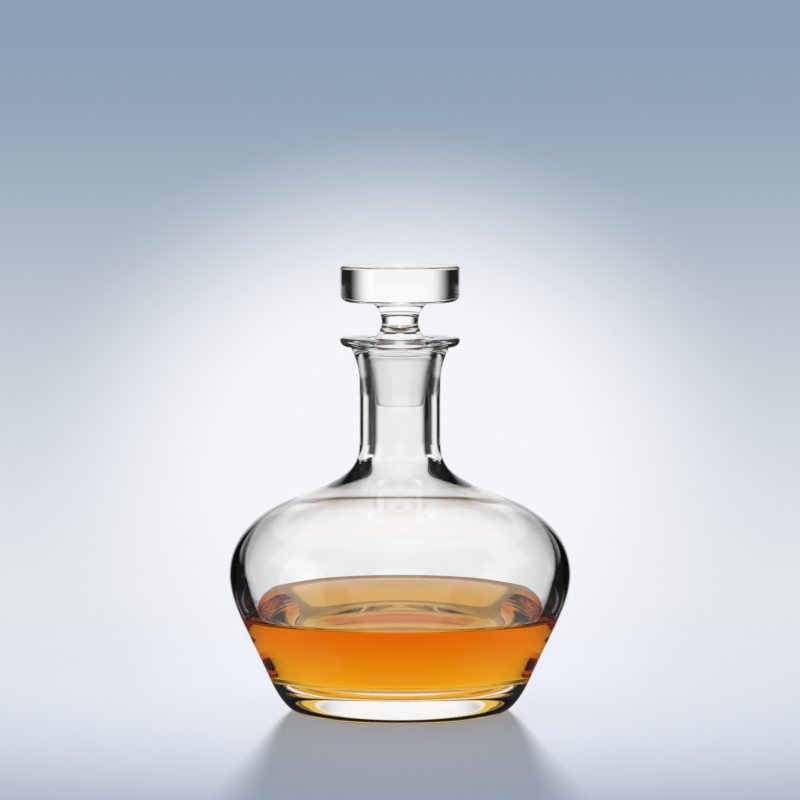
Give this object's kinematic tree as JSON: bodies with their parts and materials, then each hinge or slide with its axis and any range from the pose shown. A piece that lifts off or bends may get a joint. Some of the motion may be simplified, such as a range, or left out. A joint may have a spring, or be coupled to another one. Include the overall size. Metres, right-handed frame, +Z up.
{
  "type": "whisky decanter",
  "caption": "Round-bellied clear glass decanter with a heavy base, straight neck, flat lip and solid ground glass stopper, partly filled with whisky.",
  "frame": {"origin": "middle of the foot, on the surface that the decanter stands on", "axes": "+Z up along the axis of the body, neck and stopper; the object is round, so X and Y are free"},
  "size_m": [0.151, 0.151, 0.197],
  "materials": {
    "clear_glass": "polished clear glass",
    "stopper_glass": "polished clear glass, ground on the plug",
    "whisky": "clear amber liquid"
  },
  "bodies": {
    "decanter_body": {"decanter": "clear_glass", "whisky": "whisky"},
    "stopper_body": {"stopper": "stopper_glass"}
  },
  "joints": [
    {"name": "stopper_lift", "type": "slide", "parent": "decanter_body", "child": "stopper_body", "axis": [0, 0, 1], "range_m": [0, 0.035]}
  ]
}
